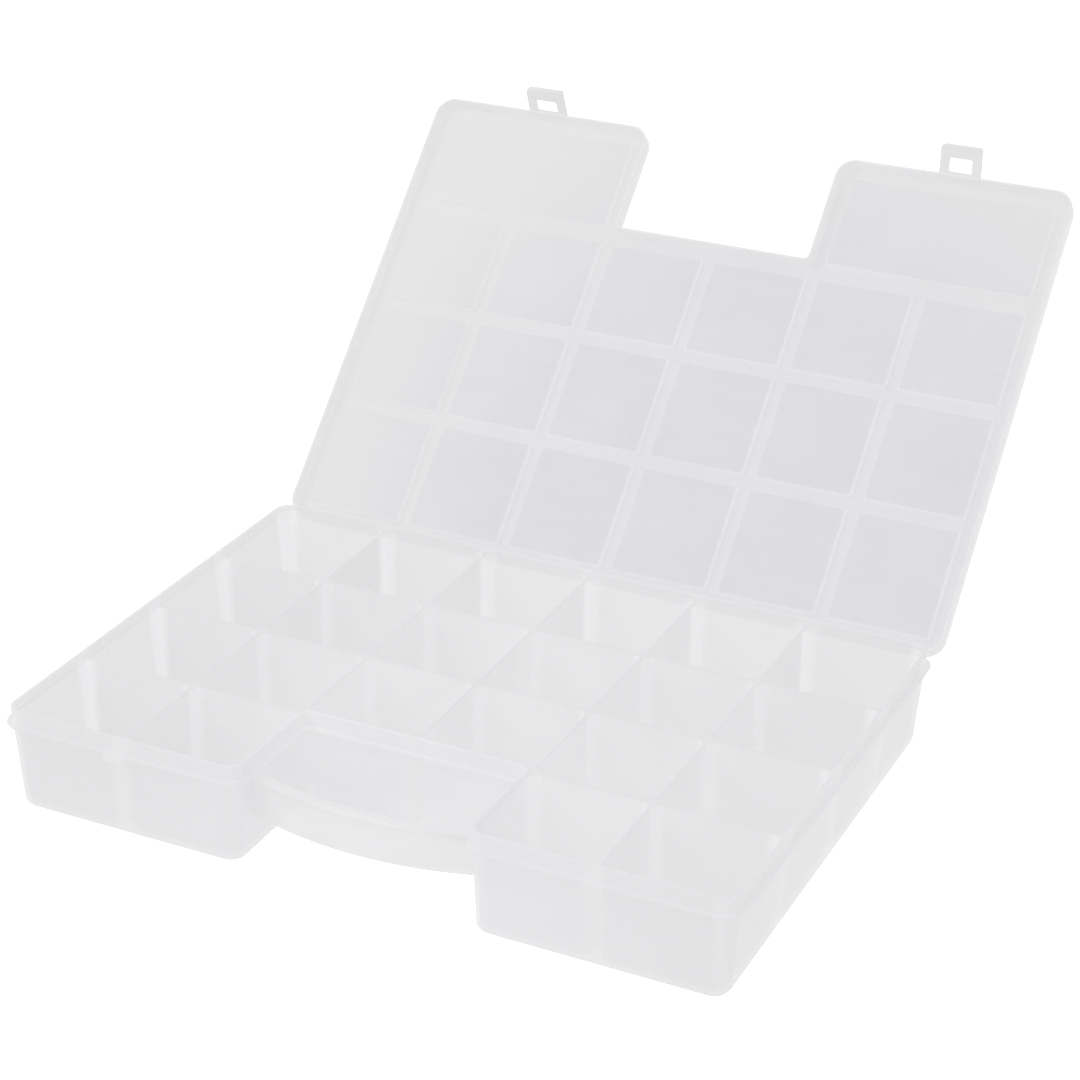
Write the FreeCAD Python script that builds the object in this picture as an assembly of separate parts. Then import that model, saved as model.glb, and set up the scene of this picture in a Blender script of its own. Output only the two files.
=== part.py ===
import FreeCAD, Part
import math
import os

from FreeCAD import Vector

# A moulded compartment case in frosted polypropylene: a shallow tray with a
# recess at the middle of its front edge, a curved carrying handle across that
# recess, a lid of the same outline on film hinges along the rear edge, and two
# loop latches on the lid's front edge. Millimetres, +Z up, front towards -Y,
# origin at the centre of the tray's underside. The lid is modelled shut and
# then turned about its hinge line to the angle that it stands open at.

# Tray outline, measured at the rim
tray_length = 340.0
tray_depth = 238.0
tray_height = 48.5
side_draft = 3.5
end_draft = 1.5
corner_radius = 8.0
wall = 1.8
floor_thickness = 2.0
underside_round = 4.0
cavity_round = 2.0

# Compartments: six columns by four rows. The front recess, between the two
# horns of the tray, takes the place of two compartments.
column_count = 6
row_count = 4
side_margin = 4.4
rear_margin = 6.0
recess_side_margin = 4.4
recess_rear_margin = 1.0
recess_draft = 1.8
recess_corner_radius = 4.0

# Dividers
divider_top_width = 1.4
divider_foot_width = 2.0
divider_drop = 2.0

# Ledge round the tray that the lid's skirt sits on
ledge_drop = 7.0
ledge_thickness = 1.5
ledge_reach = 2.0

# Handle across the recess
handle_height = 19.5
handle_bow = 9.0
handle_setback = 14.0
handle_web = 2.2
handle_flange_width = 5.5
handle_flange_thickness = 1.8
handle_foot_width = 3.6
handle_foot_thickness = 1.4

# Lid
lid_gap = 0.35
lid_skirt = 1.25
lid_panel = 1.6
lid_over_rim = 0.5
lid_over_ledge = 0.2
lid_edge_round = 1.2
pad_depth = 2.2
pad_slope = 0.6
pad_channel = 6.0
pad_border = 4.6
pad_corner_radius = 2.0
lid_open_angle = 135.0

# Film hinges, drawn as a round bead on a thin web
bead_radius = 0.6
web_thickness = 0.6
bead_fit = 0.05
hinge_reach = 1.2
hinge_strip_length = 34.0
saddle_front = 0.4
saddle_rear = 0.5
saddle_foot = 0.2
rail_rear = 0.8
rail_rise = 1.5
rail_end_gap = 14.0

# Latches and the catches that they hook under
latch_reach = 1.7
latch_root_width = 21.4
latch_tip_width = 21.0
latch_length = 16.0
latch_thickness = 2.0
latch_root_start = 0.45
window_start = 2.6
window_length = 7.2
window_width = 11.6
window_round = 1.0
lip_length = 3.0
lip_rise = 1.6
lip_inset = 0.6
catch_width = 9.0
catch_drop = 2.3
catch_overhang = 0.7
latch_axis_drop = 2.2
latch_angles = {"left": 68.0, "right": 44.0}

# Places that follow from the sizes above
column_pitch = (tray_length - 2 * side_margin) / column_count
row_pitch = (tray_depth - rear_margin) / row_count
recess_width = 2 * column_pitch - recess_side_margin
recess_depth = row_pitch - recess_rear_margin
half_length = tray_length / 2
half_depth = tray_depth / 2
half_recess = recess_width / 2
ledge_top = tray_height - ledge_drop
ledge_bottom = ledge_top - ledge_thickness
divider_top = tray_height - divider_drop
recess_back = -half_depth + recess_depth
row_lines = [recess_back + wall / 2 + row_pitch * step for step in range(row_count - 1)]
column_lines = [column_pitch * (step - column_count / 2) for step in range(1, column_count)]
lines_at_recess = (1, 2, 3)
lid_out = lid_gap + lid_skirt
lid_underside = tray_height + lid_over_rim
lid_top = lid_underside + lid_panel
lid_bottom = ledge_top + lid_over_ledge
hinge_y = half_depth + ledge_reach + hinge_reach
hinge_z = (ledge_top + ledge_bottom) / 2
latch_y = -half_depth - lid_out - latch_reach
latch_z = lid_top - latch_axis_drop
latch_x = (half_length + half_recess) / 2
overrun = wall

X_AXIS = Vector(1, 0, 0)
Z_AXIS = Vector(0, 0, 1)


def corners(inset_side, inset_end, inset_recess, out=0.0):
    """Corner points of the outline, front left first and anticlockwise, with
    each point's radius sign: +1 where the corner is convex, -1 where it isn't."""
    hx = half_length - inset_side + out
    hy = half_depth - inset_end + out
    hr = half_recess + inset_recess - out
    back = recess_back + inset_recess - out
    return [((-hx, -hy), 1), ((-hr, -hy), 1), ((-hr, back), -1), ((hr, back), -1),
            ((hr, -hy), 1), ((hx, -hy), 1), ((hx, hy), 1), ((-hx, hy), 1)]


def rounded_wire(points, radii, z):
    """Closed wire through right-angled corners, each rounded by its radius."""
    count = len(points)
    edges, starts, ends = [], [], []
    for i in range(count):
        here = Vector(points[i][0], points[i][1], z)
        before = Vector(points[i - 1][0], points[i - 1][1], z)
        after = Vector(points[(i + 1) % count][0], points[(i + 1) % count][1], z)
        to_before = (before - here).normalize()
        to_after = (after - here).normalize()
        start = here + to_before * radii[i]
        end = here + to_after * radii[i]
        centre = here + (to_before + to_after) * radii[i]
        middle = centre + (here - centre).normalize() * radii[i]
        starts.append(start)
        ends.append(end)
        edges.append(Part.Arc(start, middle, end).toShape())
    for i in range(count):
        edges.append(Part.LineSegment(ends[i], starts[(i + 1) % count]).toShape())
    return Part.Wire(Part.__sortEdges__(edges))


def outline(z, out=0.0, drafted=True):
    """Outline of the tray at height z, moved outwards by out."""
    fall = (1 - z / tray_height) if drafted else 0.0
    marked = corners(side_draft * fall, end_draft * fall, recess_draft * fall, out)
    radii = [corner_radius + out if sign > 0 else recess_corner_radius - out for _, sign in marked]
    return rounded_wire([point for point, _ in marked], radii, z)


def between(z_low, z_high, out=0.0, drafted=True):
    """Solid between two heights of the outline."""
    return Part.makeLoft([outline(z_low, out, drafted), outline(z_high, out, drafted)], True, True)


def round_level(solid, z, radius):
    """Round every edge of a solid that lies flat at height z."""
    flat = [e for e in solid.Edges if all(abs(v.Z - z) < bead_fit for v in e.Vertexes)]
    flat = [e for e in flat if abs(e.BoundBox.ZLength) < bead_fit]
    return solid.makeFillet(radius, flat)


def block(x0, x1, y0, y1, z0, z1):
    return Part.makeBox(x1 - x0, y1 - y0, z1 - z0, Vector(x0, y0, z0))


def wall_region(index, z0, z1, reach):
    """Prism round one straight run of the outline, mitred at both corners."""
    points = [Vector(*point, z0) for point, _ in corners(0.0, 0.0, 0.0)]
    count = len(points)

    def outward(i):
        run = (points[(i + 1) % count] - points[i]).normalize()
        return Vector(run.y, -run.x, 0)

    def mitre(i, out):
        return points[i] + (outward(i - 1) + outward(i)) * out

    after = (index + 1) % count
    ring = [mitre(index, reach), mitre(after, reach), mitre(after, -reach), mitre(index, -reach)]
    face = Part.Face(Part.makePolygon(ring + [ring[0]]))
    return face.extrude(Vector(0, 0, z1 - z0))


wall_names = ["front_left", "recess_left", "recess_back", "recess_right",
              "front_right", "right", "rear", "left"]


def turned(shape, angle, axis_y, axis_z):
    """Copy of a shape turned about a line along X; positive lifts the rear."""
    copy = shape.copy()
    copy.rotate(Vector(0, axis_y, axis_z), X_AXIS, angle)
    return copy


def bead_and_web(x0, x1, y, z, towards):
    """Film hinge: a bead along X with a web that runs to the line y = towards."""
    bead = Part.makeCylinder(bead_radius, x1 - x0, Vector(x0, y, z), X_AXIS)
    low, high = min(y, towards), max(y, towards)
    web = block(x0, x1, low, high, z - web_thickness / 2, z + web_thickness / 2)
    return bead.fuse(web).removeSplitter()


def bead_hole(x0, x1, y, z):
    """Space that a saddle leaves round a bead."""
    return Part.makeCylinder(bead_radius + bead_fit, x1 - x0, Vector(x0, y, z), X_AXIS)


def tray_solids():
    """Outer body, inner cavity and the shell with its ledge."""
    body = round_level(between(0.0, tray_height), 0.0, underside_round)
    cavity = between(floor_thickness, tray_height, -wall)
    cavity = round_level(cavity, floor_thickness, cavity_round)
    ledge = between(ledge_bottom, ledge_top, ledge_reach, drafted=False)
    shell = body.fuse(ledge.cut(between(ledge_bottom, ledge_top))).cut(cavity)
    return body, cavity, shell.removeSplitter()


def tray_shell_pieces(shell):
    """Floor in three plates and the wall in eight runs."""
    split = floor_thickness + cavity_round
    far = half_length + half_depth
    seam = row_lines[0]
    pieces = {
        "tray_floor_rear": block(-far, far, seam, far, 0.0, split),
        "tray_floor_left": block(-far, 0.0, -far, seam, 0.0, split),
        "tray_floor_right": block(0.0, far, -far, seam, 0.0, split),
    }
    for index, name in enumerate(wall_names):
        pieces["tray_wall_" + name] = wall_region(index, split, tray_height, corner_radius * 2)
    return {name: shell.common(tool) for name, tool in pieces.items()}


def divider_profile(along_x, line, start, end):
    """Plate that thins upwards, from start to end along one axis."""
    foot, top = divider_foot_width / 2, divider_top_width / 2
    section = [(-foot, floor_thickness), (foot, floor_thickness), (top, divider_top), (-top, divider_top)]
    if along_x:
        ring = [Vector(start, line + across, z) for across, z in section]
        path = Vector(end - start, 0, 0)
    else:
        ring = [Vector(line + across, start, z) for across, z in section]
        path = Vector(0, end - start, 0)
    return Part.Face(Part.makePolygon(ring + [ring[0]])).extrude(path)


def divider_pieces(cavity):
    """Row dividers run right across, column dividers stand between them."""
    front_row, middle_row, rear_row = row_lines
    across = {
        "row_divider_front_left": divider_profile(True, front_row, -half_length, -half_recess),
        "row_divider_front_right": divider_profile(True, front_row, half_recess, half_length),
        "row_divider_middle": divider_profile(True, middle_row, -half_length, half_length),
        "row_divider_rear": divider_profile(True, rear_row, -half_length, half_length),
    }
    pieces = {name: plate.common(cavity) for name, plate in across.items()}
    rows = Part.makeCompound(list(pieces.values()))
    for index, line in enumerate(column_lines):
        front = front_row if index in lines_at_recess else -half_depth
        plate = divider_profile(False, line, front, half_depth)
        pieces["column_divider_%d" % (index + 1)] = plate.common(cavity).cut(rows)
    return pieces


def handle_pieces(body):
    """Bowed band under the ledge: a web with a flange above and a bead below."""
    top = ledge_bottom
    bottom = top - handle_height
    radius = (half_recess ** 2 + handle_bow ** 2) / (2 * handle_bow)
    end_y = -half_depth + handle_setback
    centre = Vector(0, end_y - handle_bow + radius, 0)

    def ring(width, z0, z1):
        base = Vector(centre.x, centre.y, z0)
        outer = Part.makeCylinder(radius + width / 2, z1 - z0, base, Z_AXIS)
        inner = Part.makeCylinder(radius - width / 2, z1 - z0, base, Z_AXIS)
        span = block(-half_length, half_length, -half_depth - handle_bow, recess_back, z0, z1)
        return outer.cut(inner).common(span).cut(body)

    def across_recess(shape):
        middle = [s for s in shape.Solids if abs(s.CenterOfMass.x) < half_recess / 2]
        return middle[0]

    foot_top = bottom + handle_foot_thickness
    web_top = top - handle_flange_thickness
    return {
        "handle_flange": across_recess(ring(handle_flange_width, web_top, top)),
        "handle_web": across_recess(ring(handle_web, foot_top, web_top)),
        "handle_foot": across_recess(ring(handle_foot_width, bottom, foot_top)),
    }


def catch_piece(x):
    """Lug on the ledge that a latch's window drops over."""
    face = -half_depth - ledge_reach
    outside = latch_y - latch_thickness / 2 - catch_overhang
    return block(x - catch_width / 2, x + catch_width / 2, outside, face,
                 ledge_top - catch_drop, ledge_top)


def hinge_strips():
    """Film hinge strips, one behind each column of compartments."""
    pieces = {}
    edge = half_depth + ledge_reach
    first = -column_pitch * (column_count - 1) / 2
    for index in range(column_count):
        x = first + column_pitch * index
        pieces["hinge_strip_%d" % (index + 1)] = bead_and_web(
            x - hinge_strip_length / 2, x + hinge_strip_length / 2, hinge_y, hinge_z, edge)
    return pieces


def rounded_block(x0, x1, y0, y1, inset, radius, z):
    ring = [(x0 + inset, y0 + inset), (x1 - inset, y0 + inset), (x1 - inset, y1 - inset), (x0 + inset, y1 - inset)]
    return rounded_wire(ring, [radius] * 4, z)


def pad_bounds():
    """Plan of each pad: one over every compartment, but a single wide one over each horn."""
    side = half_length - wall - pad_border
    rear = half_depth - wall - pad_border
    horn = half_recess + wall + pad_border
    half_channel = pad_channel / 2
    columns = [-side] + column_lines + [side]
    rows = [recess_back] + row_lines[1:] + [rear]
    plans = []
    front = -half_depth + wall + pad_border
    for c in range(column_count):
        x0 = columns[c] + (half_channel if c > 0 else 0.0)
        x1 = columns[c + 1] - (half_channel if c < column_count - 1 else 0.0)
        for r in range(row_count - 1):
            y0 = rows[r] + (half_channel if r > 0 else wall + pad_border)
            y1 = rows[r + 1] - (half_channel if r < row_count - 2 else 0.0)
            plans.append((x0, x1, y0, y1))
    for x0, x1 in ((-side, -horn), (horn, side)):
        plans.append((x0, x1, front, row_lines[0] - half_channel))
    return plans


def lid_solid():
    """Closed lid: rounded cap, hollowed, with a dished pad over each compartment."""
    cap = between(lid_bottom, lid_top, lid_out, drafted=False)
    cap = round_level(cap, lid_top, lid_edge_round)
    hollow = between(lid_bottom, lid_underside, lid_gap, drafted=False)
    lid = cap.cut(hollow)
    pads, dishes = [], []
    pad_floor = lid_underside - pad_depth
    for x0, x1, y0, y1 in pad_bounds():
        low = rounded_block(x0, x1, y0, y1, pad_slope, pad_corner_radius - pad_slope, pad_floor)
        high = rounded_block(x0, x1, y0, y1, 0.0, pad_corner_radius, lid_underside)
        pads.append(Part.makeLoft([low, high], True, True))
        low = rounded_block(x0, x1, y0, y1, pad_slope * 2, pad_corner_radius - pad_slope * 2, pad_floor + lid_panel)
        high = rounded_block(x0, x1, y0, y1, pad_slope, pad_corner_radius - pad_slope, lid_top)
        dishes.append(Part.makeLoft([low, high], True, True))
    return lid.fuse(pads).cut(Part.makeCompound(dishes)).removeSplitter()


def lid_pieces():
    """Panel in three plates and the skirt in eight runs, all modelled shut."""
    lid = lid_solid()
    far = half_length + half_depth
    low = lid_bottom - overrun
    seam = recess_back - lid_out
    inside = between(low, lid_underside, lid_gap, drafted=False)
    skirt_zone = between(low, lid_underside, lid_out + overrun, drafted=False).cut(inside)
    top_zone = lid.cut(skirt_zone)
    pieces = {
        "lid_panel_rear": top_zone.common(block(-far, far, seam, far, low, lid_top)),
        "lid_panel_left": top_zone.common(block(-far, 0.0, -far, seam, low, lid_top)),
        "lid_panel_right": top_zone.common(block(0.0, far, -far, seam, low, lid_top)),
    }
    skirt = lid.common(skirt_zone)
    for index, name in enumerate(wall_names):
        region = wall_region(index, low, lid_underside, corner_radius * 2)
        pieces["lid_skirt_" + name] = skirt.common(region)
    return pieces


def lid_hinge_rail():
    """Rail on the rear skirt whose underside rides on the hinge beads."""
    end = half_length - rail_end_gap
    face = half_depth + lid_out
    rail = block(-end, end, face, hinge_y + rail_rear, lid_bottom, lid_bottom + rail_rise)
    saddle = block(-end, end, hinge_y - saddle_front, hinge_y + saddle_rear,
                   hinge_z + saddle_foot, lid_bottom)
    return rail.fuse(saddle).cut(bead_hole(-end, end, hinge_y, hinge_z)).removeSplitter()


def latch_strip(x):
    """Film hinge of one latch, on the lid's front skirt."""
    half = latch_root_width / 2
    return bead_and_web(x - half, x + half, latch_y, latch_z, -half_depth - lid_out)


def latch_pieces(x, angle):
    """Loop and finger lip, drawn straight out in front and then turned down."""
    half_root, half_tip = latch_root_width / 2, latch_tip_width / 2
    z0 = latch_z - latch_thickness / 2
    root = latch_y - latch_root_start
    tip = latch_y - latch_length
    ring = [Vector(x - half_root, root, z0), Vector(x - half_tip, tip, z0),
            Vector(x + half_tip, tip, z0), Vector(x + half_root, root, z0)]
    plate = Part.Face(Part.makePolygon(ring + [ring[0]])).extrude(Vector(0, 0, latch_thickness))
    far_edge = latch_y - window_start - window_length
    hole = rounded_wire([(x - window_width / 2, far_edge), (x + window_width / 2, far_edge),
                         (x + window_width / 2, latch_y - window_start),
                         (x - window_width / 2, latch_y - window_start)], [window_round] * 4, z0)
    window = Part.Face(hole).extrude(Vector(0, 0, latch_thickness))
    loop = plate.cut(window).cut(bead_hole(x - half_root, x + half_root, latch_y, latch_z))
    lip = block(x - half_tip + lip_inset, x + half_tip - lip_inset, tip, tip + lip_length,
                latch_z + latch_thickness / 2, latch_z + latch_thickness / 2 + lip_rise)
    return turned(loop, angle, latch_y, latch_z), turned(lip, angle, latch_y, latch_z)


def build():
    """Every node of the case, placed as it stands open."""
    body, cavity, shell = tray_solids()
    pieces = dict(tray_shell_pieces(shell))
    pieces.update(divider_pieces(cavity))
    pieces.update(handle_pieces(body))
    pieces["catch_left"] = catch_piece(-latch_x)
    pieces["catch_right"] = catch_piece(latch_x)
    pieces.update(hinge_strips())
    moving = dict(lid_pieces())
    moving["lid_hinge_rail"] = lid_hinge_rail()
    for side, x in (("left", -latch_x), ("right", latch_x)):
        moving["latch_strip_" + side] = latch_strip(x)
        loop, lip = latch_pieces(x, latch_angles[side])
        moving["latch_loop_" + side] = loop
        moving["latch_lip_" + side] = lip
    for name, shape in moving.items():
        pieces[name] = turned(shape, -lid_open_angle, hinge_y, hinge_z)
    return pieces


def write(pieces):
    os.makedirs("parts", exist_ok=True)
    for name, shape in sorted(pieces.items()):
        solids = shape.Solids
        shape = solids[0] if len(solids) == 1 else Part.makeCompound(solids)
        shape.exportStep("parts/" + name + ".step")
        print("%-26s solids %d  volume %9.1f  valid %s" % (name, len(solids), shape.Volume, shape.isValid()))
    print(len(pieces), "nodes")


write(build())
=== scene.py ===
# %% [markdown]
# A frosted compartment case, standing open. This file is a lesson in cells:
# each step says what a piece is on the real object, how it could be made, and
# why this way was chosen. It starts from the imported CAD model, which fixes every
# place and size, and dresses it with one continuous skin for each moulding.

# %% Load the frame
import bpy
import math
import numpy as np
from mathutils import Matrix, Vector
from mathutils.geometry import tessellate_polygon


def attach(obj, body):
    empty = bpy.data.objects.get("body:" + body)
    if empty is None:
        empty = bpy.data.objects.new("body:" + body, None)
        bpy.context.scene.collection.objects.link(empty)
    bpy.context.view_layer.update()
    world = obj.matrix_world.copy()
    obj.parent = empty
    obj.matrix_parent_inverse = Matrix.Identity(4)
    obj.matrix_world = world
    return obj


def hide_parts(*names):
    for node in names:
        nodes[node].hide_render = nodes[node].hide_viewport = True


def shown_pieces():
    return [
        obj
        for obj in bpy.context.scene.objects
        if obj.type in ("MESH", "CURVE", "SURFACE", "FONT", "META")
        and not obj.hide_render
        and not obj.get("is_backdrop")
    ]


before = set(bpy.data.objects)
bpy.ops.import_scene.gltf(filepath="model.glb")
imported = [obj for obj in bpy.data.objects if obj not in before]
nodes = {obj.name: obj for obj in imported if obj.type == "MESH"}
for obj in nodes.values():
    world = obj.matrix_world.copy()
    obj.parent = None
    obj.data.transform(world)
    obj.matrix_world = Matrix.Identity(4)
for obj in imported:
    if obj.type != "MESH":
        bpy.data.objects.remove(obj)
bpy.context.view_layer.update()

# %% [markdown]
# The sizes below are the case's own, in millimetres. The tray is 340 mm long and
# 238 mm deep at its rim, and the lid turns on a line just behind the rear wall.

# %% Sizes
MM = 0.001
HALF_LENGTH, HALF_DEPTH, RIM = 170.0, 119.0, 48.5
SIDE_DRAFT, END_DRAFT, RECESS_DRAFT = 3.5, 1.5, 1.8
HALF_RECESS, RECESS_BACK = 53.0, -62.0
CORNER, INNER_CORNER, FOOT_ROUND = 8.0, 4.0, 4.0
WALL, FLOOR = 1.8, 2.0
LEDGE_LOW, LEDGE_HIGH, LEDGE_REACH = 40.0, 41.5, 2.0
DIVIDER_TOP, DIVIDER_HALF_TOP, DIVIDER_HALF_FOOT = 46.5, 0.7, 1.0
COLUMNS = np.array([-110.4, -55.2, 0.0, 55.2, 110.4])
ROWS = np.array([-61.1, -3.1, 54.9])
HINGE_Y, HINGE_Z = 122.2, 40.75
OPEN_ANGLE = math.radians(-135.0)
LATCH_Y, LATCH_Z, LATCH_X = -122.3, 48.4, 111.5
LATCH_ANGLES = {"left": math.radians(68.0), "right": math.radians(44.0)}
print("rim:", 2 * HALF_LENGTH, "by", 2 * HALF_DEPTH, "mm,", RIM, "mm high")

# %% [markdown]
# Every wall, skirt, pocket and pad of a moulding is a closed loop with rounded
# corners, carried up or down through a few levels. These functions work out such
# loops, many levels at a time.

# %% Loops
def rounded(corners, radii, steps=9):
    """Loops (levels, corners, 2) with each corner turned into a quarter circle.

    With unit vectors a to the corner before and b to the corner after, and the
    centre c = corner + r (a + b), a point of the arc is c - r (b cos t + a sin t)
    for t from 0 to a right angle.
    """
    corners = np.asarray(corners, float)
    radii = np.broadcast_to(np.asarray(radii, float), corners.shape[:2])[..., None, None]
    a = np.roll(corners, 1, axis=1) - corners
    b = np.roll(corners, -1, axis=1) - corners
    a = (a / np.linalg.norm(a, axis=2, keepdims=True))[:, :, None, :]
    b = (b / np.linalg.norm(b, axis=2, keepdims=True))[:, :, None, :]
    t = np.linspace(0.0, math.pi / 2, steps)[None, None, :, None]
    arc = corners[:, :, None, :] + radii * (a + b) - radii * (b * np.cos(t) + a * np.sin(t))
    return arc.reshape(len(corners), -1, 2)


def at_heights(loops, heights):
    """Puts each loop of (levels, points, 2) at its own height."""
    z = np.broadcast_to(np.asarray(heights, float)[:, None, None], loops.shape[:2] + (1,))
    return np.concatenate([loops, z], axis=2)


def quarter(steps=5):
    """Sine and cosine of a quarter turn, for rounded edges."""
    t = np.linspace(0.0, math.pi / 2, steps)
    return np.sin(t), np.cos(t)


def outline(heights, out=0.0, drafted=True):
    """The case's outline at each height, moved outwards by out.

    It is a rectangle with a recess in its front. The mould's draft makes it
    narrower by draft (1 - height / rim), and the recess wider by as much.
    """
    heights = np.atleast_1d(np.asarray(heights, float))
    out = np.broadcast_to(np.asarray(out, float), heights.shape)
    fall = 1.0 - heights / RIM if drafted else heights * 0.0
    x = HALF_LENGTH - SIDE_DRAFT * fall + out
    y = HALF_DEPTH - END_DRAFT * fall + out
    r = HALF_RECESS + RECESS_DRAFT * fall - out
    b = RECESS_BACK + RECESS_DRAFT * fall - out
    corners = np.stack([-x, -y, -r, -y, -r, b, r, b, r, -y, x, -y, x, y, -x, y], axis=1)
    convex = np.array([1, 1, 0, 0, 1, 1, 1, 1])
    radii = np.where(convex, CORNER + out[:, None], INNER_CORNER - out[:, None])
    return at_heights(rounded(corners.reshape(-1, 8, 2), radii), heights)


def boxes(x0, x1, y0, y1, radii, heights, steps=7):
    """Rounded rectangles at each height; every bound is a number or one for each level."""
    heights = np.asarray(heights, float)
    x0, x1, y0, y1 = [np.broadcast_to(np.asarray(v, float), heights.shape) for v in (x0, x1, y0, y1)]
    corners = np.stack([x0, y0, x1, y0, x1, y1, x0, y1], axis=1).reshape(-1, 4, 2)
    return at_heights(rounded(corners, radii, steps), heights)


# %% [markdown]
# A flat part of a moulding is one loop with other loops as holes, so it is cut
# into triangles. Where three points of it lie on one line, the cut can give a
# triangle without area. A skin has to be closed, so such a triangle isn't just
# left out: its neighbour is split instead.

# %% Flat parts
NO_AREA = 1e-9


def doubled_areas(triangles, plan):
    """Twice the signed area of each triangle: the cross product of two of its sides."""
    p = plan[np.array(triangles)]
    e, f = p[:, 1] - p[:, 0], p[:, 2] - p[:, 0]
    return e[:, 0] * f[:, 1] - e[:, 1] * f[:, 0]


def without_slivers(triangles, plan):
    """Takes out the triangles without area. The triangle across the longest side of each
    is split at the sliver's middle corner, so that no edge stays open."""
    triangles = [tuple(t) for t in triangles.tolist()]
    while True:
        flat = np.nonzero(np.abs(doubled_areas(triangles, plan)) < NO_AREA)[0]
        if len(flat) == 0:
            return np.array(triangles)
        sliver = triangles.pop(flat[0])
        sides = [np.linalg.norm(plan[sliver[i - 1]] - plan[sliver[i - 2]]) for i in range(3)]
        middle = sliver[int(np.argmax(sides))]
        start, end = [n for n in sliver if n != middle]
        across = next(i for i, t in enumerate(triangles) if start in t and end in t)
        third = next(n for n in triangles.pop(across) if n not in (start, end))
        triangles += [(start, middle, third), (middle, end, third)]


# %% [markdown]
# A moulding is then one skin, gathered loop by loop: rings join loop to loop with
# quads, and sheets close them. Each face also takes a kind, the number of its
# material, because places of one moulding take different colours: thin and thick
# places, and places painted lighter as painted light.

# %% Skins
SHARP_ANGLE = math.radians(35.0)


class Skin:
    """Points, faces and the faces' kinds of one closed moulding, in millimetres."""

    def __init__(self):
        self.points, self.faces, self.kinds, self.count = [], [], [], 0

    def rings(self, grid, flip=False, kind=0, closed=False):
        """Quads between neighbouring rings of a (levels, points, 3) grid; gives the points' numbers.

        Loops run anticlockwise, so faces point outwards on a skin that goes up, and
        inwards on one that goes down, as in a pocket. flip turns them round. kind is
        one number, or an array that fits (bands, points). closed joins last to first.
        """
        levels, around = grid.shape[:2]
        index = self.count + np.arange(levels * around).reshape(levels, around)
        self.points.append(grid.reshape(-1, 3))
        self.count += levels * around
        near = np.concatenate([index, index[:1]]) if closed else index
        after = np.roll(near, -1, axis=1)
        quads = np.stack([near[:-1], after[:-1], after[1:], near[1:]], axis=-1).reshape(-1, 4)
        self.faces += (quads[:, ::-1] if flip else quads).tolist()
        self.kinds += np.broadcast_to(kind, (len(near) - 1, around)).reshape(-1).tolist()
        return index

    def sheet(self, outer, holes=(), up=True, kind=0):
        """Flat face inside one loop and outside the holes, cut into triangles."""
        plan = np.concatenate(self.points)[:, :2]
        loops = [outer] + list(holes)
        flat = [[Vector((x, y, 0.0)) for x, y in plan[loop]] for loop in loops]
        cut = np.array(tessellate_polygon(flat))
        triangles = without_slivers(np.concatenate(loops)[cut], plan)
        wrong = (doubled_areas(triangles, plan) > 0) != up
        triangles[wrong] = triangles[wrong][:, ::-1]
        self.faces += triangles.tolist()
        self.kinds += [kind] * len(triangles)

    def object(self, name, place=None):
        """The finished object, in metres at the origin; place moves its points first."""
        points = np.concatenate(self.points)
        if place is not None:
            points = place(points)
        mesh = bpy.data.meshes.new(name)
        mesh.from_pydata((points * MM).tolist(), [], self.faces)
        mesh.polygons.foreach_set("use_smooth", np.ones(len(mesh.polygons), bool))
        mesh.polygons.foreach_set("material_index", np.array(self.kinds, np.int32))
        mesh.set_sharp_from_angle(angle=SHARP_ANGLE)
        mesh.update()
        made = bpy.data.objects.new(name, mesh)
        bpy.context.scene.collection.objects.link(made)
        print(name, len(mesh.vertices), "points", len(mesh.polygons), "faces")
        return made


# %% [markdown]
# The tray is one moulding: an outside wall with a rounded foot and a ledge, and
# 22 pockets sunk into it. It could be a block with boolean cuts, but cuts leave
# ragged faces that a see-through plastic shows. So the outside is the outline
# carried up its own section, and each pocket is a stack of rounded rectangles.

# %% Tray outside and rim
WALL_KIND, POCKET_KIND, TOP_KIND = 0, 1, 2
RIM_ROUND = 0.45
LEDGE_LEVELS = np.array([-1, -0.9, -0.5, 0, 0.5, 0.9, 1])
LEDGE_BACK_SHARES = np.array([0.7, 0.35, 0.1, 0, 0.1, 0.35, 0.7])
BELOW_LEDGE, ABOVE_LEDGE = 0.6, 0.5
FILLET_BELOW, FILLET_ABOVE = 0.25, 0.3

tray = Skin()
s, c = quarter()
foot_z, foot_out = FOOT_ROUND * (1 - c), -FOOT_ROUND * (1 - s)
ledge_half = (LEDGE_HIGH - LEDGE_LOW) / 2
ledge_z = (LEDGE_LOW + LEDGE_HIGH) / 2 + LEDGE_LEVELS * ledge_half
ledge_out = LEDGE_REACH - LEDGE_BACK_SHARES * ledge_half
outside = np.concatenate([
    outline(foot_z, foot_out),
    outline([LEDGE_LOW - BELOW_LEDGE, LEDGE_LOW], [0.0, FILLET_BELOW]),
    outline(ledge_z, ledge_out, drafted=False),
    outline([LEDGE_HIGH, LEDGE_HIGH + ABOVE_LEDGE], [FILLET_ABOVE, 0.0]),
    outline(RIM - RIM_ROUND * (1 - s), -RIM_ROUND * (1 - c)),
    outline(RIM - RIM_ROUND * (1 - c), -WALL + RIM_ROUND * (1 - s)),
    outline([DIVIDER_TOP], -WALL)])
shell = tray.rings(outside, kind=WALL_KIND)
tray.sheet(shell[0], up=False, kind=WALL_KIND)
print("outside:", outside.shape[0], "loops of", outside.shape[1], "points")

# %% [markdown]
# A pocket narrows towards its floor, because the walls and dividers are drafted.
# Where it meets a divider its top edge is rounded, and its foot and upright
# corners have the generous radii that let small beads be swept out. Its skin lies
# a hair inside the wall's, so that the rim's flat part has no loops that touch.

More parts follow.
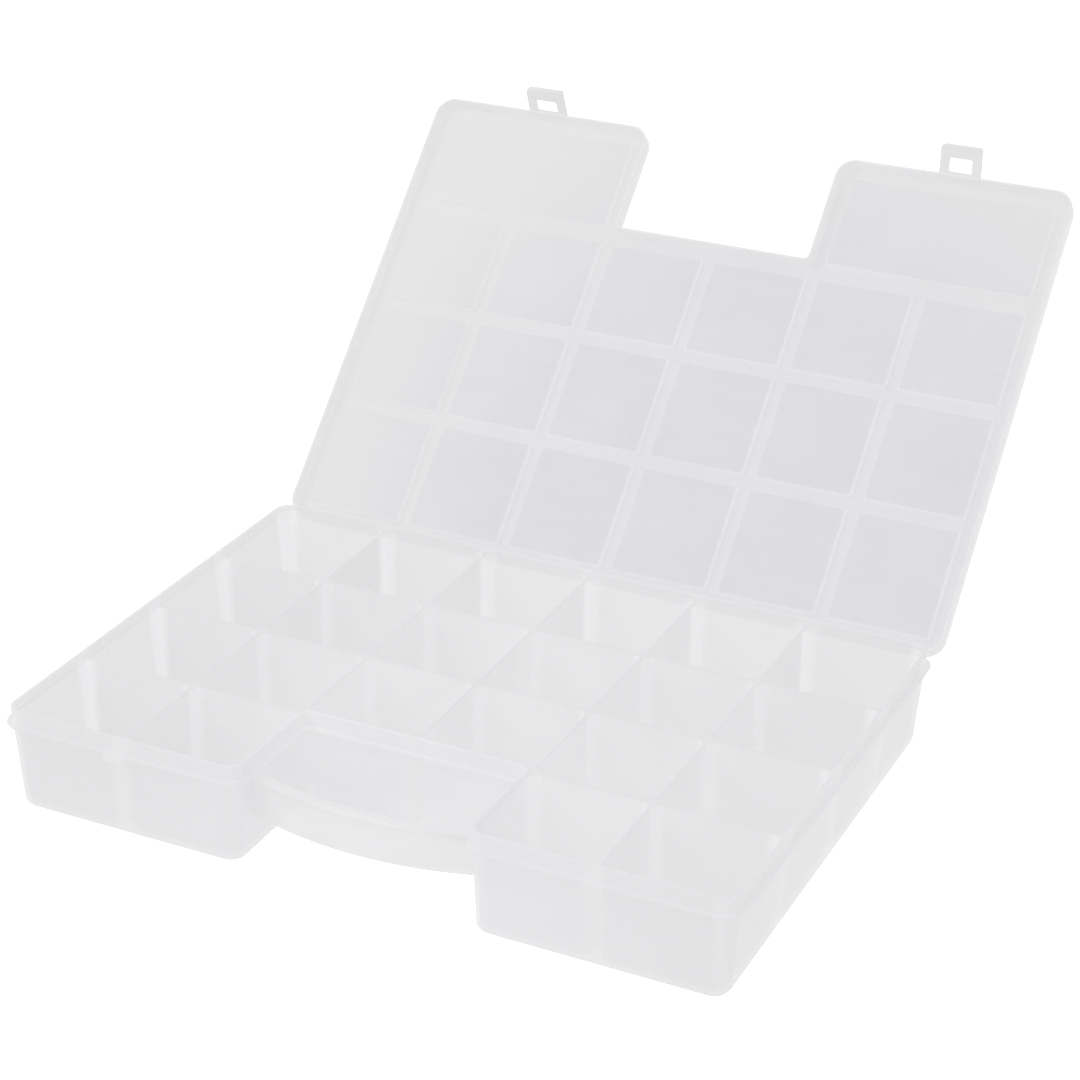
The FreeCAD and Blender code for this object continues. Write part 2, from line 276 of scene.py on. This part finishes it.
# %% Pockets
POCKET_CORNER, POCKET_FOOT, DIVIDER_ROUND, SKIN_GAP = 4.2, 3.4, 0.45, 0.03
LEAST_RADIUS, FOOT_TIGHTER_SHARE = 1.0, 0.6
STRAIGHT_SHARES = np.array([0.66, 0.33])
# The cells at a rounded corner of the case, and which of their four corners it is.
ROUND_CELLS = {(0, 0): 0, (5, 0): 1, (5, 3): 2, (0, 3): 3, (1, 0): 1, (4, 0): 0}


def side(is_wall, wall_top, wall_foot, line, sign):
    """One bound of a pocket, (top, foot, rounding): a wall's inner face or a divider's."""
    if is_wall:
        return wall_top + sign * SKIN_GAP, wall_foot + sign * SKIN_GAP, 0.0
    return line + sign * DIVIDER_HALF_TOP, line + sign * DIVIDER_HALF_FOOT, DIVIDER_ROUND


def drafted(at_rim, draft):
    """(at divider top, at floor) of an inner face that leans by draft over the height."""
    return at_rim + draft * (1 - DIVIDER_TOP / RIM), at_rim + draft * (1 - FLOOR / RIM)


def pocket_sides(column, row):
    """The left, right, front and rear side of one compartment."""
    inner_x = drafted(HALF_LENGTH - WALL, -SIDE_DRAFT)
    inner_y = drafted(HALF_DEPTH - WALL, -END_DRAFT)
    horn = drafted(HALF_RECESS + WALL, RECESS_DRAFT)
    back = drafted(RECESS_BACK + WALL, RECESS_DRAFT)
    left = side(column == 0, -inner_x[0], -inner_x[1], COLUMNS[column - 1], 1)
    right = side(column == 5, inner_x[0], inner_x[1], COLUMNS[min(column, 4)], -1)
    front = side(row == 0, -inner_y[0], -inner_y[1], ROWS[row - 1], 1)
    rear = side(row == 3, inner_y[0], inner_y[1], ROWS[min(row, 2)], -1)
    if row == 0 and column == 1:
        right = side(True, -horn[0], -horn[1], 0.0, -1)
    if row == 0 and column == 4:
        left = side(True, horn[0], horn[1], 0.0, 1)
    if row == 1 and column in (2, 3):
        front = side(True, back[0], back[1], 0.0, 1)
    return left, right, front, rear


def pocket(column, row):
    """Rings of one compartment from its mouth down to its floor.

    Each side runs straight from its place at the mouth to that at the floor. A quarter
    circle opens the mouth outwards at a divider, and another draws the foot inwards.
    """
    s, c = quarter()
    z = np.concatenate([DIVIDER_TOP - DIVIDER_ROUND * (1 - c),
                        FLOOR + POCKET_FOOT + STRAIGHT_SHARES * (DIVIDER_TOP - FLOOR - POCKET_FOOT),
                        FLOOR + POCKET_FOOT * (1 - s)])
    opened_by = np.concatenate([1 - s, STRAIGHT_SHARES * 0, c * 0])
    drawn_in = np.concatenate([c * 0, STRAIGHT_SHARES * 0, POCKET_FOOT * (1 - c)])
    fall = (DIVIDER_TOP - z) / (DIVIDER_TOP - FLOOR)
    bounds = [top + (foot - top) * fall + sign * (drawn_in - rounding * opened_by)
              for (top, foot, rounding), sign in zip(pocket_sides(column, row), (1, -1, 1, -1))]
    radii = np.full(4, POCKET_CORNER)
    if (column, row) in ROUND_CELLS:
        radii[ROUND_CELLS[column, row]] = CORNER - WALL
    return boxes(*bounds, np.maximum(radii - drawn_in[:, None] * FOOT_TIGHTER_SHARE, LEAST_RADIUS), z)


# %% [markdown]
# The rounded mouth of a pocket is as thick as the divider's top, and the rest is
# thin wall, so their bands take different kinds. The sheet between all the mouths
# is the top of the dividers, in one piece.

# %% Tray
MOUTH_BANDS, DEEP_BANDS = 4, 7
pocket_kinds = np.array([TOP_KIND] * MOUTH_BANDS + [POCKET_KIND] * DEEP_BANDS)[:, None]
cells = [(column, row) for column in range(6) for row in range(4) if not (row == 0 and column in (2, 3))]
mouths = []
for column, row in cells:
    ring = tray.rings(pocket(column, row), kind=pocket_kinds)
    tray.sheet(ring[-1], up=True, kind=POCKET_KIND)
    mouths.append(ring[0])
tray.sheet(shell[-1], mouths, up=True, kind=TOP_KIND)
tray_piece = tray.object("tray_moulding")
print("compartments:", len(cells))

# %% [markdown]
# The handle bridges the recess as one bowed band: a flange on top, a thin web
# below it and a bead along its foot. Its section is carried along a circular arc,
# and each point of the section stops just inside the leaning wall of a horn.

# %% Handle
HANDLE_TOP, HANDLE_HEIGHT, HANDLE_BOW, HANDLE_SETBACK = LEDGE_LOW, 19.5, 9.0, 14.0
HANDLE_STEPS, HANDLE_SINK = 49, 0.05


def handle_section():
    """Half widths against height, up one side: bead, web, flange, with soft edges."""
    top, low = HANDLE_TOP, HANDLE_TOP - HANDLE_HEIGHT
    half = np.array([
        (1.2, low), (1.6, low + 0.15), (1.8, low + 0.5), (1.8, low + 0.9), (1.55, low + 1.3),
        (1.2, low + 1.6), (1.1, low + 2.4), (1.1, top - 3.0), (1.3, top - 2.2), (1.9, top - 1.85),
        (2.4, top - 1.75), (2.7, top - 1.4), (2.75, top - 0.9), (2.7, top - 0.4), (2.35, top)])
    return np.concatenate([half, half[::-1] * [-1, 1]])


def handle_band():
    """The section at each step of the bow. An arc of bow b over the half chord a has the
    radius (a a + b b) / 2 b, and a point of half width w lies on the radius + w."""
    radius = (HALF_RECESS ** 2 + HANDLE_BOW ** 2) / (2 * HANDLE_BOW)
    centre_y = -HALF_DEPTH + HANDLE_SETBACK - HANDLE_BOW + radius
    width, height = handle_section().T
    reach = HALF_RECESS + RECESS_DRAFT * (1 - height / RIM) + HANDLE_SINK
    limit = np.arcsin(reach / (radius + width))
    sweep = np.linspace(-1.0, 1.0, HANDLE_STEPS)[:, None] * limit[None, :]
    return np.stack([(radius + width) * np.sin(sweep),
                     centre_y - (radius + width) * np.cos(sweep),
                     np.broadcast_to(height, sweep.shape)], axis=-1)


handle = Skin()
ends = handle.rings(handle_band(), flip=True)
handle.faces += [ends[0].tolist(), ends[-1][::-1].tolist()]
handle.kinds += [0, 0]
handle_piece = handle.object("carrying_handle")

# %% [markdown]
# The lid is the second moulding: a skirt that slips over the tray's rim, a soft
# top edge, and a panel with a dished pad over each compartment, or one wide pad
# over each horn. The pads stand proud inside, so the channels between them sit
# over the dividers and stiffen the panel. It is worked out shut, as the CAD
# model is, and then turned open.

# %% Pads
PAD_DEPTH, PAD_CHANNEL, PAD_BORDER, PAD_CORNER, PAD_LEAST_RADIUS = 2.2, 6.0, 4.6, 2.0, 0.8
PAD_INSETS = np.array([-0.3, -0.1, 0.0, 0.18, 0.3, 0.6])
PAD_LEVEL_SHARES = np.array([0.0, 0.04, 0.16, 0.84, 0.96, 1.0])


def pad_plans():
    """Bounds (x0, x1, y0, y1) of every pad, clear of the outside walls."""
    edge, gap = WALL + PAD_BORDER, PAD_CHANNEL / 2
    end, front, rear = HALF_LENGTH - edge, -HALF_DEPTH + edge, HALF_DEPTH - edge
    x = np.concatenate([[-end - gap], COLUMNS, [end + gap]])
    y = np.concatenate([[RECESS_BACK + edge - gap], ROWS[1:], [rear + gap]])
    plans = [(x[c] + gap, x[c + 1] - gap, y[r] + gap, y[r + 1] - gap) for c in range(6) for r in range(3)]
    horn = HALF_RECESS + edge
    return plans + [(-end, -horn, front, ROWS[0] - gap), (horn, end, front, ROWS[0] - gap)]


def pad(plan, top, extra):
    """Rings of a pad's face, from the panel's at the height top down by the pad's depth.
    Each side draws in by extra and by the insets that round its two edges."""
    x0, x1, y0, y1 = plan
    inset = PAD_INSETS + extra
    radii = np.maximum(PAD_CORNER - inset, PAD_LEAST_RADIUS)[:, None]
    heights = top - PAD_DEPTH * PAD_LEVEL_SHARES
    return boxes(x0 + inset, x1 - inset, y0 + inset, y1 - inset, radii, heights)


print("pads:", len(pad_plans()))

# %% [markdown]
# The skirt goes down its inside face, round its lower edge and up its outside, so
# one run of loops makes it. The panel's two faces close it, with the pads as
# their holes.

# %% Lid
# The edge kind marks the skirt and the pad sides, painted lighter as painted light and a painted highlight.
PANEL_KIND, PAD_KIND, EDGE_PAINTED_LIGHT_KIND = 0, 1, 2
LID_LOW, LID_UNDER, LID_TOP, LID_ROUND = 41.7, 49.0, 50.6, 1.2
LID_IN, LID_OUT, SKIRT_EDGE, OUTER_PAD_INSET = 0.35, 1.6, 0.3, 1.4


def turned(points, angle, y, z):
    """Points turned about a line along X through (y, z): the usual plane rotation of y and z."""
    dy, dz = points[:, 1] - y, points[:, 2] - z
    c, s = math.cos(angle), math.sin(angle)
    return np.stack([points[:, 0], y + dy * c - dz * s, z + dy * s + dz * c], axis=1)


def opened(points):
    """Lid points from shut to standing open."""
    return turned(points, OPEN_ANGLE, HINGE_Y, HINGE_Z)


lid = Skin()
s, c = quarter()
skirt = np.concatenate([
    outline([LID_UNDER], LID_IN, drafted=False),
    outline(LID_LOW + SKIRT_EDGE * (1 - s), LID_IN + SKIRT_EDGE * (1 - c), drafted=False),
    outline(LID_LOW + SKIRT_EDGE * (1 - c), LID_OUT - SKIRT_EDGE * (1 - s), drafted=False),
    outline(LID_TOP - LID_ROUND * (1 - s), LID_OUT - LID_ROUND * (1 - c), drafted=False)])
# The skirt takes the edge kind, painted lighter: painted light.
skirt_rings = lid.rings(skirt, kind=EDGE_PAINTED_LIGHT_KIND)
inner_mouths, outer_mouths = [], []
# The pad sides take the edge kind too, painted lighter as a painted highlight.
for plan in pad_plans():
    inner = lid.rings(pad(plan, LID_UNDER, 0.0), flip=True, kind=EDGE_PAINTED_LIGHT_KIND)
    lid.sheet(inner[-1], up=False, kind=PAD_KIND)
    inner_mouths.append(inner[0])
    outer = lid.rings(pad(plan, LID_TOP, OUTER_PAD_INSET), kind=EDGE_PAINTED_LIGHT_KIND)
    lid.sheet(outer[-1], up=True, kind=PAD_KIND)
    outer_mouths.append(outer[0])
lid.sheet(skirt_rings[0], inner_mouths, up=False, kind=PANEL_KIND)
lid.sheet(skirt_rings[-1], outer_mouths, up=True, kind=PANEL_KIND)
lid_piece = lid.object("lid_moulding", opened)

# %% [markdown]
# Each latch is a small loop of plastic on its own film hinge: a frame round a
# window that drops over the catch, and a lip for a fingertip. The frame is a
# ring, so its section is carried once round, from the outer edge to the window.

# %% Latches
LATCH_LENGTH, LATCH_THICK, LATCH_ROOT, LATCH_TIP, LATCH_START = 16.0, 2.0, 10.7, 10.5, 0.45
WINDOW_START, WINDOW_LENGTH, WINDOW_HALF = 2.6, 7.2, 5.8
TIP_RADIUS, ROOT_RADIUS, WINDOW_RADIUS = 1.6, 0.3, 1.0
LIP_SHORTER, LIP_DEPTH, LIP_RISE, LIP_SINK = 0.6, 3.0, 1.6, 0.1
LIP_EDGE, LIP_CORNER, LIP_TIGHTER_SHARE = 0.5, 1.2, 0.5
ACROSS_SHARES = np.array([0.0, 0.02, 0.08, 0.92, 0.98, 1.0])
HEIGHT_SHARES = np.array([0.62, 0.9, 1.0, 1.0, 0.9, 0.62])


def latch_loops(x):
    """Outer and inner loop of the frame in plan, drawn straight out in front of the lid."""
    root, tip = LATCH_Y - LATCH_START, LATCH_Y - LATCH_LENGTH
    outer = [(x - LATCH_TIP, tip), (x + LATCH_TIP, tip), (x + LATCH_ROOT, root), (x - LATCH_ROOT, root)]
    far, near = LATCH_Y - WINDOW_START - WINDOW_LENGTH, LATCH_Y - WINDOW_START
    inner = [(x - WINDOW_HALF, far), (x + WINDOW_HALF, far), (x + WINDOW_HALF, near), (x - WINDOW_HALF, near)]
    radii = [[TIP_RADIUS, TIP_RADIUS, ROOT_RADIUS, ROOT_RADIUS]]
    return rounded([outer], radii)[0], rounded([inner], WINDOW_RADIUS)[0]


def latch_frame(x):
    """Closed ring: over the top from the outer loop to the inner one, and back below.
    A point lies at outer + share (inner - outer), at its height share of half the thickness."""
    outer, inner = latch_loops(x)
    across = np.concatenate([ACROSS_SHARES, ACROSS_SHARES[::-1]])
    height = np.concatenate([HEIGHT_SHARES, -HEIGHT_SHARES[::-1]]) * LATCH_THICK / 2
    plan = outer[None] + (inner - outer)[None] * across[:, None, None]
    skin = Skin()
    skin.rings(at_heights(plan, LATCH_Z + height), closed=True)
    return skin


def add_lip(skin, x):
    """Bar across the latch's end: rounded rectangles that open out by a quarter circle at
    the foot and draw in by another at the top."""
    s, c = quarter()
    half, tip, face = LATCH_TIP - LIP_SHORTER, LATCH_Y - LATCH_LENGTH, LATCH_Z + LATCH_THICK / 2
    inset = np.concatenate([LIP_EDGE * (1 - s), LIP_EDGE * (1 - c)])
    z = np.concatenate([face - LIP_SINK + LIP_EDGE * (1 - c), face + LIP_RISE - LIP_EDGE * (1 - s)])
    rings = skin.rings(boxes(x - half + inset, x + half - inset, tip + inset, tip + LIP_DEPTH - inset,
                             LIP_CORNER - inset[:, None] * LIP_TIGHTER_SHARE, z))
    skin.sheet(rings[0], up=False)
    skin.sheet(rings[-1], up=True)


latch_pieces = {}
for name, x in (("left", -LATCH_X), ("right", LATCH_X)):
    latch = latch_frame(x)
    add_lip(latch, x)
    latch_pieces[name] = latch.object(
        "latch_" + name, lambda p, a=LATCH_ANGLES[name]: opened(turned(p, a, LATCH_Y, LATCH_Z)))

# %% [markdown]
# A material is a small graph of nodes. One helper adds a node with its settings
# and links, and one function turns the sRGB colours that an eye reads off a
# screen into the linear ones that a renderer counts in.

# %% Colours and nodes
def linear(hex_colour):
    """sRGB hex to linear: ((v + 0.055) / 1.055) ** 2.4 above the toe, v / 12.92 in it."""
    v = np.array([int(hex_colour[i:i + 2], 16) for i in (1, 3, 5)]) / 255.0
    v = np.where(v <= 0.04045, v / 12.92, ((v + 0.055) / 1.055) ** 2.4)
    return (*v.tolist(), 1.0)


def add(tree, kind, settings=None, links=None):
    """One node with its properties and inputs set, and its inputs linked from (node, output)."""
    node = tree.nodes.new(kind)
    for key, value in (settings or {}).items():
        if isinstance(key, str) and hasattr(node, key):
            setattr(node, key, value)
        else:
            node.inputs[key].default_value = value
    for key, (source, output) in (links or {}).items():
        tree.links.new(source.outputs[output], node.inputs[key])
    return node


# %% [markdown]
# The real plastic is natural polypropylene, injection moulded against a finely
# spark-eroded tool. It has no pigment: its crystals scatter the light, so it is
# milky, neutral grey-white and see-through in one thickness, and milkier where
# two walls meet. Spark erosion gives it a satin surface with a grain of about a
# quarter of a millimetre, drawn here at 0.6 mm, because finer wouldn't show.

# %% Polypropylene
GRAIN_MM, CLOUD_MM, FLOW_MM = 0.6, 34.0, 9.0
FLOW_STRETCH, FLOW_SHARE = (0.16, 1.0, 1.0), 0.35
DARK_FROM, LIGHT_FROM = 0.32, 0.68
SMOOTHER, ROUGHER = 0.06, 0.08
GRAIN_STRENGTH, GRAIN_DEPTH_MM = 0.12, 0.04
PLASTIC_IOR, SHEEN = 1.49, 0.3
COLUMN_PITCH, ROW_PITCH = COLUMNS[1] - COLUMNS[0], ROWS[1] - ROWS[0]
JOINT_MM, FADE_MM = 1.5, 7.0


def near_lines(tree, coords, facing, axis, across, pitch, start):
    """1 beside a row of walls and 0 away from them, on faces that look along the rows.

    The distance to the nearest wall is the ping-pong of (place - start) over half
    a pitch; it fades out over a few millimetres, times how far the face looks across.
    """
    place = add(tree, "ShaderNodeMath", {"operation": "SUBTRACT", 1: start * MM}, {0: (coords, axis)})
    gap = add(tree, "ShaderNodeMath", {"operation": "PINGPONG", 1: pitch * MM / 2}, {0: (place, 0)})
    close = add(tree, "ShaderNodeMapRange", {"interpolation_type": "SMOOTHSTEP", "From Min": FADE_MM * MM,
                                             "From Max": JOINT_MM * MM}, {"Value": (gap, 0)})
    look = add(tree, "ShaderNodeMath", {"operation": "ABSOLUTE"}, {0: (facing, across)})
    return add(tree, "ShaderNodeMath", {"operation": "MULTIPLY"}, {0: (close, "Result"), 1: (look, 0)})


def polypropylene(name, light, dark, alpha, rough, centre=(0, 0, 0), reach=(60, 200), far=None, joints=None):
    """Frosted natural polypropylene: cloudy density, faint flow bands, spark-eroded grain.

    far is the colour that the sheet takes with distance from centre, over reach in
    millimetres, a painted fall-off of light and shade, and joints the colour of the
    thick places where walls meet.
    """
    material = bpy.data.materials.new(name)
    material.use_nodes = True
    tree = material.node_tree
    tree.nodes.clear()
    coords = add(tree, "ShaderNodeTexCoord")
    cloud = add(tree, "ShaderNodeTexNoise", {"Scale": 1 / (CLOUD_MM * MM), "Detail": 3.0, "Roughness": 0.5},
                {"Vector": (coords, "Object")})
    stretch = add(tree, "ShaderNodeMapping", {"Scale": FLOW_STRETCH}, {"Vector": (coords, "Object")})
    flow = add(tree, "ShaderNodeTexNoise", {"Scale": 1 / (FLOW_MM * MM), "Detail": 2.0, "Distortion": 0.6},
               {"Vector": (stretch, "Vector")})
    both = add(tree, "ShaderNodeMix", {"data_type": "FLOAT", 0: FLOW_SHARE}, {2: (cloud, "Fac"), 3: (flow, "Fac")})
    tone = add(tree, "ShaderNodeValToRGB", links={"Fac": (both, 0)})
    for stop, (place, hex_colour) in zip(tone.color_ramp.elements, ((DARK_FROM, dark), (LIGHT_FROM, light))):
        stop.position, stop.color = place, linear(hex_colour)
    colour = (tone, "Color")
    # Painted fall-off of light and shade: the colour drifts towards far with distance from centre.
    if far:
        apart = add(tree, "ShaderNodeVectorMath", {"operation": "DISTANCE", 1: tuple(v * MM for v in centre)},
                    {0: (coords, "Object")})
        share = add(tree, "ShaderNodeMapRange", {"interpolation_type": "SMOOTHSTEP", "From Min": reach[0] * MM,
                                                 "From Max": reach[1] * MM}, {"Value": (apart, "Value")})
        mixed = add(tree, "ShaderNodeMix", {"data_type": "RGBA", 7: linear(far)}, {0: (share, "Result"), 6: colour})
        colour = (mixed, 2)
    if joints:
        place = add(tree, "ShaderNodeSeparateXYZ", links={0: (coords, "Object")})
        facing = add(tree, "ShaderNodeSeparateXYZ", links={0: (coords, "Normal")})
        columns = near_lines(tree, place, facing, "X", "Y", COLUMN_PITCH, COLUMNS[2])
        rows = near_lines(tree, place, facing, "Y", "X", ROW_PITCH, ROWS[1])
        thick = add(tree, "ShaderNodeMath", {"operation": "MAXIMUM"}, {0: (columns, 0), 1: (rows, 0)})
        mixed = add(tree, "ShaderNodeMix", {"data_type": "RGBA", 7: linear(joints)}, {0: (thick, 0), 6: colour})
        colour = (mixed, 2)
    satin = add(tree, "ShaderNodeMapRange", {"To Min": rough - SMOOTHER, "To Max": rough + ROUGHER},
                {"Value": (cloud, "Fac")})
    grain = add(tree, "ShaderNodeTexNoise", {"Scale": 1 / (GRAIN_MM * MM), "Detail": 2.0},
                {"Vector": (coords, "Object")})
    bump = add(tree, "ShaderNodeBump", {"Strength": GRAIN_STRENGTH, "Distance": GRAIN_DEPTH_MM * MM},
               {"Height": (grain, "Fac")})
    shader = add(tree, "ShaderNodeBsdfPrincipled", {"IOR": PLASTIC_IOR, "Alpha": alpha, "Specular IOR Level": SHEEN},
                 {"Base Color": colour, "Roughness": (satin, "Result"), "Normal": (bump, "Normal")})
    add(tree, "ShaderNodeOutputMaterial", links={"Surface": (shader, "BSDF")})
    print(name, "alpha", alpha, "roughness", rough)
    return material


# %% [markdown]
# One plastic makes the whole case, but its colour differs from place to
# place. The pads take the darkest colour, and joints are the milkiest, where the
# plastic is thickest. The lid's skirt and the sides of its pads are painted
# lighter: painted light, with a painted highlight along the pads. Away from a
# middle point the lid is also painted paler and the tray a little darker, a
# painted fall-off of light and shade.

# %% Plastics of the case
# centre and reach place the painted fall-off: the lid painted paler and the tray painted darker away from centre.
tray_look = {"alpha": 0.78, "rough": 0.5, "centre": (20.0, -20.0, 20.0), "reach": (60, 190)}
lid_look = {"alpha": 0.84, "rough": 0.45, "centre": (50.0, 160.0, 80.0), "reach": (100, 250)}
handle_look = {"alpha": 0.8, "rough": 0.5}

tray_plastic = polypropylene("Natural polypropylene, tray", "#f1f0f2", "#eceaed",
                             far="#eae9eb", joints="#eeedef", **tray_look)
pocket_plastic = polypropylene("Natural polypropylene, pocket", "#f2f2f4", "#edecee",
                               far="#ebeaec", joints="#f5f4f6", **tray_look)
top_plastic = polypropylene("Natural polypropylene, divider top", "#eae9eb", "#e6e5e7", **tray_look)
lid_plastic = polypropylene("Natural polypropylene, lid", "#e6e5e8", "#e3e2e5", far="#e8e8e8", **lid_look)
# The pads take a darker colour than the panel.
pad_plastic = polypropylene("Natural polypropylene, darker pad", "#e1e0e4", "#dddce0", far="#e7e7e8", **lid_look)
# Painted light: the lid's skirt and pad sides are painted lighter than its panel.
edge_painted_light_plastic = polypropylene("Natural polypropylene, lid edge, painted lighter", "#f0eff1", "#ebeaec", **lid_look)
handle_plastic = polypropylene("Natural polypropylene, handle", "#efeef0", "#eae9eb", **handle_look)
# The latch is painted lighter than the lid, painted light against the shade on its downward face.
latch_plastic_painted_lighter = polypropylene("Natural polypropylene, latch painted lighter", "#eceaeb", "#e6e4e5", **lid_look)

# %% [markdown]
# Every piece now moves with its body, and the CAD parts that it stands for are
# hidden. The small parts whose CAD shape is already right keep it, and only get
# the plastic: catches, hinge strips, hinge rail and latch strips.

# %% Dress the frame
def dress(piece, body, materials, replaced):
    """Gives a new piece its plastics in the order of their kinds and its body, and hides the CAD parts it replaces.
    """
    for material in materials:
        piece.data.materials.append(material)
    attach(piece, body)
    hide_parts(*replaced)


def named(*starts):
    """Names of the CAD parts that start with one of these words."""
    return [n for n in sorted(nodes) if n.startswith(starts)]


dress(tray_piece, "tray", [tray_plastic, pocket_plastic, top_plastic],
      named("tray_", "row_divider_", "column_divider_"))
dress(handle_piece, "tray", [handle_plastic], named("handle_"))
dress(lid_piece, "lid", [lid_plastic, pad_plastic, edge_painted_light_plastic],
      named("lid_panel_", "lid_skirt_"))
for name, piece in latch_pieces.items():
    dress(piece, "latch_" + name, [latch_plastic_painted_lighter],
          ["latch_loop_" + name, "latch_lip_" + name])

kept = {"catch_": handle_plastic, "hinge_strip_": handle_plastic,
        "lid_hinge_rail": lid_plastic, "latch_strip_": latch_plastic_painted_lighter}
for start, material in kept.items():
    for name in named(start):
        nodes[name].data.materials.clear()
        nodes[name].data.materials.append(material)
print("CAD parts kept:", named(*kept))

# %% [markdown]
# The case stands on a white sweep. The floor is matt, so it hands soft light up
# into the plastic, and where the camera sees it, straight or in a gloss, it is
# lifted to plain white. Light that reaches the plastic isn't.

# %% Floor
HALF_FLOOR, FLOOR_BELOW, FLOOR_LIFT = 3.0, 0.0002, 0.6
floor_mesh = bpy.data.meshes.new("floor")
floor_corners = [(x * HALF_FLOOR, y * HALF_FLOOR, 0) for x, y in ((-1, -1), (1, -1), (1, 1), (-1, 1))]
floor_mesh.from_pydata(floor_corners, [], [(0, 1, 2, 3)])
floor = bpy.data.objects.new("floor", floor_mesh)
floor.location.z = -FLOOR_BELOW
bpy.context.scene.collection.objects.link(floor)
floor_paint = bpy.data.materials.new("White sweep")
floor_paint.use_nodes = True
tree = floor_paint.node_tree
tree.nodes.clear()
ray = add(tree, "ShaderNodeLightPath")
seen = add(tree, "ShaderNodeMath", {"operation": "MAXIMUM"}, {0: (ray, "Is Camera Ray"), 1: (ray, "Is Glossy Ray")})
seen = add(tree, "ShaderNodeMath", {"operation": "MAXIMUM"}, {0: (seen, 0), 1: (ray, "Is Transmission Ray")})
lift = add(tree, "ShaderNodeMath", {"operation": "MULTIPLY", 1: FLOOR_LIFT}, {0: (seen, 0)})
matt = add(tree, "ShaderNodeBsdfDiffuse", {"Color": linear("#f7f7f7")})
glow = add(tree, "ShaderNodeEmission", {"Color": (1, 1, 1, 1)}, {"Strength": (lift, 0)})
total = add(tree, "ShaderNodeAddShader", links={0: (matt, 0), 1: (glow, 0)})
add(tree, "ShaderNodeOutputMaterial", links={"Surface": (total, 0)})
floor_mesh.materials.append(floor_paint)
floor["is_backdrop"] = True
print("floor:", 2 * HALF_FLOOR, "m square")

# %% [markdown]
# A white room all round keeps the plastic bright from every side, and one large,
# weak lamp from the front left gives it the faint modelling that it has in a
# light tent.

# %% Room and lamp
ROOM_LIGHT, ROOM_SEEN = 0.92, 1.0
world = bpy.data.worlds.new("White room")
bpy.context.scene.world = world
world.use_nodes = True
tree = world.node_tree
tree.nodes.clear()
ray = add(tree, "ShaderNodeLightPath")
seen = add(tree, "ShaderNodeMath", {"operation": "MAXIMUM"}, {0: (ray, "Is Camera Ray"), 1: (ray, "Is Glossy Ray")})
seen = add(tree, "ShaderNodeMath", {"operation": "MAXIMUM"}, {0: (seen, 0), 1: (ray, "Is Transmission Ray")})
level = add(tree, "ShaderNodeMapRange", {"To Min": ROOM_LIGHT, "To Max": ROOM_SEEN}, {"Value": (seen, 0)})
sky = add(tree, "ShaderNodeBackground", {"Color": (1, 1, 1, 1)}, {"Strength": (level, "Result")})
add(tree, "ShaderNodeOutputWorld", links={"Surface": (sky, 0)})


def lamp(name, place, aim, size, watts):
    """Square soft lamp at place, facing aim."""
    data = bpy.data.lights.new(name, "AREA")
    data.size, data.energy = size, watts
    made = bpy.data.objects.new(name, data)
    made.location = place
    made.rotation_euler = (Vector(aim) - Vector(place)).to_track_quat("-Z", "Y").to_euler()
    bpy.context.scene.collection.objects.link(made)
    print("lamp", name, size, "m,", watts, "W")


lamp("key", place=(-1.1, -0.9, 1.5), aim=(0, 0, 0.05), size=0.9, watts=2.5)

# %% [markdown]
# Thin polypropylene hands most light on, so a real compartment is nearly as
# bright deep inside as at its rim. Tracing that scatter takes thousands of rays.
# Here the plastic lets the room's bounced light by and only shades the lamp's,
# and a ray may pass through as many see-through walls as the case has.

# %% Light through thin walls
WALLS_IN_LINE, BOUNCES = 40, 8
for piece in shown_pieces():
    piece.visible_diffuse = False
cycles = bpy.context.scene.cycles
cycles.transparent_max_bounces = WALLS_IN_LINE
cycles.diffuse_bounces = BOUNCES

# %% [markdown]
# The camera was worked out from the outline in the photograph: a long lens, a
# little to the right of the case and about 26 degrees above it. Its direction
# comes from its turn to the side and its tilt, and then it rolls about that line.

# %% Camera
CAMERA_MM, YAW, PITCH, ROLL, FOCAL = (480.166, -956.334, 628.279), 0.4412, 0.4469, 0.0142, 2749.345
PHOTO_SIDE, SENSOR_MM, NEAREST, FARTHEST = 1080, 36.0, 0.05, 20.0
ahead = Vector((-math.sin(YAW) * math.cos(PITCH), math.cos(YAW) * math.cos(PITCH), -math.sin(PITCH)))
level_right = Vector((math.cos(YAW), math.sin(YAW), 0.0))
level_up = level_right.cross(ahead)
right = level_right * math.cos(ROLL) + level_up * math.sin(ROLL)
up = level_up * math.cos(ROLL) - level_right * math.sin(ROLL)
view = bpy.data.cameras.new("camera")
view.sensor_width, view.lens = SENSOR_MM, FOCAL / PHOTO_SIDE * SENSOR_MM
view.clip_start, view.clip_end = NEAREST, FARTHEST
camera = bpy.data.objects.new("camera", view)
facing = Matrix((right, up, -ahead)).transposed().to_4x4()
camera.matrix_world = Matrix.Translation(Vector(CAMERA_MM) * MM) @ facing
bpy.context.scene.collection.objects.link(camera)
bpy.context.scene.camera = camera
bpy.context.scene.view_settings.view_transform = "Standard"
print("lens", round(view.lens, 2))
